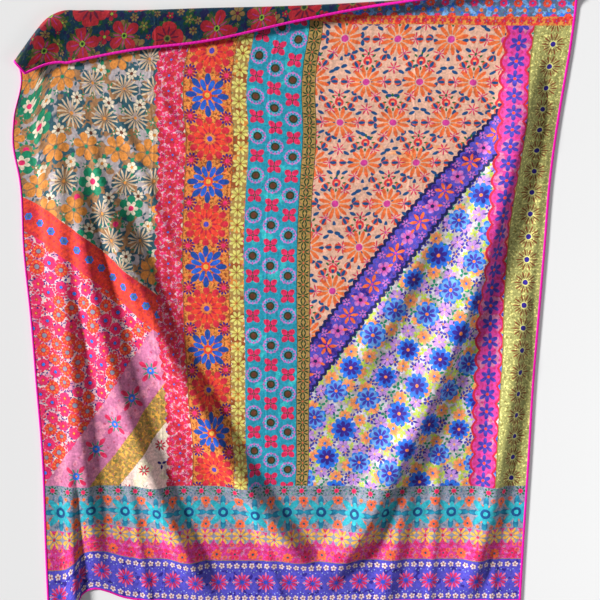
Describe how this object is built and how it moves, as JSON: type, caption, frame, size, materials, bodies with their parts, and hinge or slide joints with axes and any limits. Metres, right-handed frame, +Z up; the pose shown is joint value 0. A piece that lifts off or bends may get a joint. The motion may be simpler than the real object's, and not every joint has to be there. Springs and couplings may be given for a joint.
{
  "type": "throw blanket",
  "caption": "Plush throw blanket laid out face up in low folds, its top edge turned over onto the front, with a narrow edging bound round the whole rim.",
  "frame": {"origin": "on the surface that the blanket lies on, under the middle of its outline", "axes": "+X across the blanket to its right side, +Y up the blanket to its turned top edge, +Z up from the surface, out of its front face"},
  "size_m": [1.2717, 1.5167, 0.0314],
  "materials": {
    "plush": "short plush with a silky sheen, printed on both faces",
    "edging": "magenta thread edging"
  },
  "bodies": {
    "root": {"blanket": "plush", "edging": "edging"}
  },
  "joints": []
}
